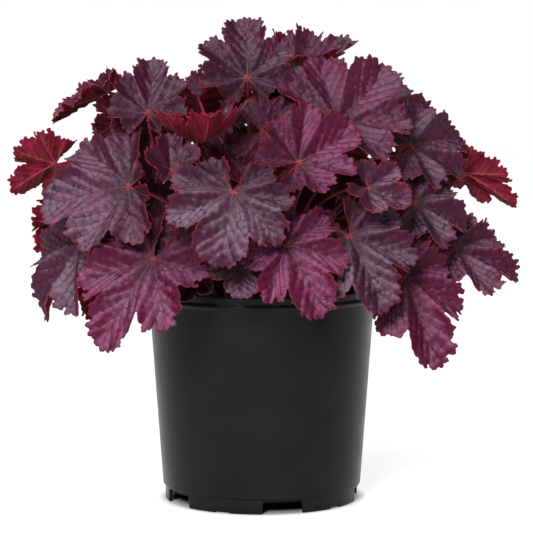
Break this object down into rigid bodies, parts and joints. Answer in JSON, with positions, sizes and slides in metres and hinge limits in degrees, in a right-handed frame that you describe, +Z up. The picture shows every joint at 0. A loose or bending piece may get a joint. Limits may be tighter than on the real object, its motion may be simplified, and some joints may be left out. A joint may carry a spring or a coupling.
{
  "type": "heuchera plant",
  "caption": "Garden perennial with lobed purple leaves on slender stalks, growing in potting mix in a round black plastic nursery pot.",
  "frame": {"origin": "centre of the pot's foot, on the surface it stands on, within a few millimetres of the box's bottom centre", "axes": "+Z up, the plant's front towards -Y, +X to its right as seen from the front"},
  "size_m": [0.4013, 0.3297, 0.385],
  "materials": {
    "pot": "semi-matt moulded black polypropylene",
    "potting_mix": "moist shredded bark and peat",
    "crown": "short woody stems with dark red leaf bases",
    "leaf": "puckered satin leaf, dusky purple above and crimson below"
  },
  "bodies": {
    "root": {"pot": "pot", "potting_mix": "potting_mix", "crown": "crown", "leaf_01": "leaf", "leaf_02": "leaf", "leaf_03": "leaf", "leaf_04": "leaf", "leaf_05": "leaf", "leaf_06": "leaf", "leaf_07": "leaf", "leaf_08": "leaf", "leaf_09": "leaf", "leaf_10": "leaf", "leaf_11": "leaf", "leaf_12": "leaf", "leaf_13": "leaf", "leaf_14": "leaf", "leaf_15": "leaf", "leaf_16": "leaf", "leaf_17": "leaf", "leaf_18": "leaf", "leaf_19": "leaf", "leaf_20": "leaf", "leaf_21": "leaf", "leaf_22": "leaf", "leaf_23": "leaf", "leaf_24": "leaf", "leaf_25": "leaf", "leaf_26": "leaf", "leaf_27": "leaf", "leaf_28": "leaf", "leaf_29": "leaf", "leaf_30": "leaf", "leaf_31": "leaf", "leaf_32": "leaf", "leaf_33": "leaf", "leaf_34": "leaf", "leaf_35": "leaf", "leaf_36": "leaf", "leaf_37": "leaf", "leaf_38": "leaf", "leaf_39": "leaf", "leaf_40": "leaf", "leaf_41": "leaf", "leaf_42": "leaf", "leaf_43": "leaf", "leaf_44": "leaf", "leaf_45": "leaf", "leaf_46": "leaf", "leaf_47": "leaf", "leaf_48": "leaf", "leaf_49": "leaf", "leaf_50": "leaf", "leaf_51": "leaf", "leaf_52": "leaf", "leaf_53": "leaf", "leaf_54": "leaf", "leaf_55": "leaf", "leaf_56": "leaf", "leaf_57": "leaf"}
  },
  "joints": []
}
